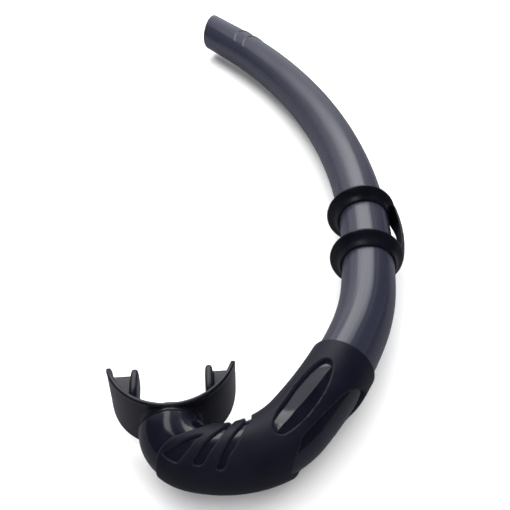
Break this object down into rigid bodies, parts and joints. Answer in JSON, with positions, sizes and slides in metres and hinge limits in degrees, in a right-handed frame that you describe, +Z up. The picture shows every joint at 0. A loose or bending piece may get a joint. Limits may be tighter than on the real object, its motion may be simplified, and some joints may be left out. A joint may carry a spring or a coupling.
{
  "type": "snorkel tube",
  "caption": "Open J-shaped snorkel with a curved tube, sleeved elbow, sliding mask strap keeper and swivelling silicone mouthpiece.",
  "frame": {"origin": "under the middle of the snorkel's box, on the level surface that it lies on", "axes": "+Y along the barrel towards its open top, +X towards the outside of the J, +Z up, square to the plane of the J"},
  "size_m": [0.134, 0.4128, 0.037],
  "materials": {
    "smoke_tube": "glossy smoke-grey tube",
    "gloss_elbow": "high-gloss black moulding",
    "soft_sleeve": "fine matt soft-touch",
    "keeper_rubber": "satin black rubber",
    "mouth_silicone": "satin black silicone"
  },
  "bodies": {
    "tube": {"barrel": "smoke_tube", "elbow_core": "gloss_elbow", "grip_sleeve": "soft_sleeve"},
    "keeper": {"strap_keeper": "keeper_rubber"},
    "mouth": {"mouthpiece": "mouth_silicone"}
  },
  "joints": [
    {"name": "keeper_slide", "type": "hinge", "parent": "tube", "child": "keeper", "pos_m": [-0.32027, -0.04925, 0.0185], "axis": [0, 0, 1], "range_deg": [-2.5, 32]},
    {"name": "mouth_swivel", "type": "hinge", "parent": "tube", "child": "mouth", "pos_m": [-0.03945, -0.18171, 0.0185], "axis": [-0.0819, 0.9966, 0], "continuous": true}
  ]
}
